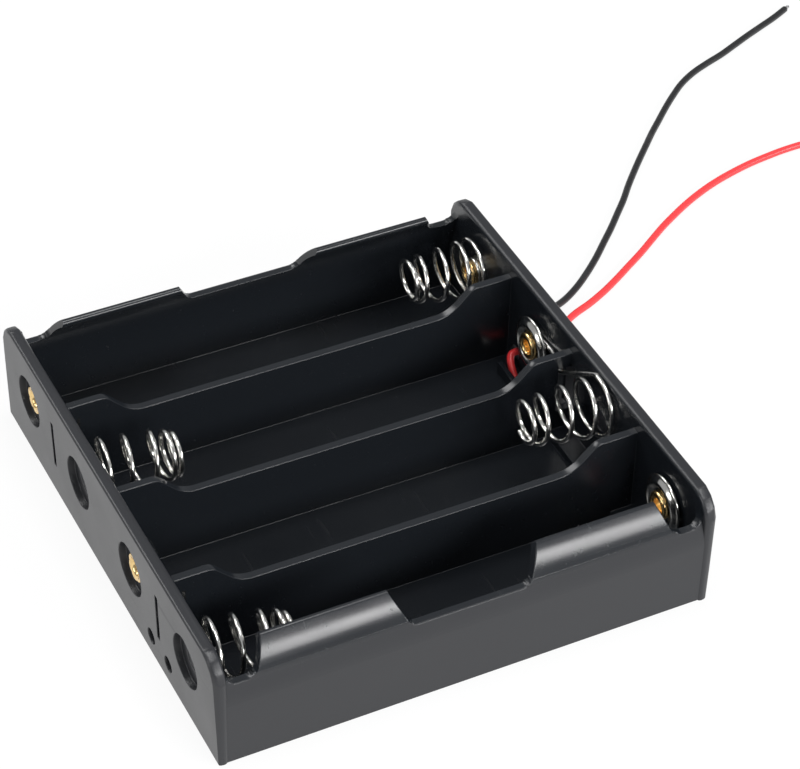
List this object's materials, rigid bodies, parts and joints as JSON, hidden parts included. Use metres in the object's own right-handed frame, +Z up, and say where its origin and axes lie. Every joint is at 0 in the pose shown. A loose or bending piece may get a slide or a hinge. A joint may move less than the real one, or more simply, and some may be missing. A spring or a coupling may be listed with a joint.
{
  "type": "cylindrical cell holder",
  "caption": "Open moulded holder for a row of cylindrical cells side by side, with conical wire springs, dished contacts and a pair of insulated leads.",
  "frame": {"origin": "centre of the housing's base, in the plane that it stands on", "axes": "+X along the cells, towards the end wall where the leads leave; +Y across the bays, towards the bay with the black lead; +Z up out of the bays"},
  "size_m": [0.1676, 0.125, 0.0188],
  "materials": {
    "moulded_plastic": "fine satin mould texture, glossier on the rib tops",
    "spring_steel": "nickel-plated drawn wire",
    "contact_plate": "nickel-plated pressed plate",
    "eyelet_brass": "rolled brass, slightly dulled",
    "black_insulation": "soft satin insulation",
    "red_insulation": "soft satin insulation"
  },
  "bodies": {
    "tray": {"housing": "moulded_plastic", "contact_disc_1": "contact_plate", "contact_disc_2": "contact_plate", "contact_disc_3": "contact_plate", "contact_disc_4": "contact_plate", "eyelet_1_spring": "eyelet_brass", "eyelet_1": "eyelet_brass", "eyelet_2": "eyelet_brass", "eyelet_3": "eyelet_brass", "eyelet_4": "eyelet_brass", "solder_tag_black": "contact_plate", "solder_tag_red": "contact_plate", "inner_wire_black": "black_insulation", "inner_wire_red": "red_insulation", "lead_black": "black_insulation", "lead_red": "red_insulation"},
    "coil_1": {"spring_1": "spring_steel"},
    "coil_2": {"spring_2": "spring_steel"},
    "coil_3": {"spring_3": "spring_steel"},
    "coil_4": {"spring_4": "spring_steel"}
  },
  "joints": [
    {"name": "press_1", "type": "slide", "parent": "tray", "child": "coil_1", "axis": [1, 0, 0], "range_m": [0, 0.0067], "stiffness_N_per_m": 320, "deforming": ["spring_1"]},
    {"name": "press_2", "type": "slide", "parent": "tray", "child": "coil_2", "axis": [-1, 0, 0], "range_m": [0, 0.0067], "stiffness_N_per_m": 320, "deforming": ["spring_2"]},
    {"name": "press_3", "type": "slide", "parent": "tray", "child": "coil_3", "axis": [1, 0, 0], "range_m": [0, 0.0067], "stiffness_N_per_m": 320, "deforming": ["spring_3"]},
    {"name": "press_4", "type": "slide", "parent": "tray", "child": "coil_4", "axis": [-1, 0, 0], "range_m": [0, 0.0067], "stiffness_N_per_m": 320, "deforming": ["spring_4"]}
  ]
}
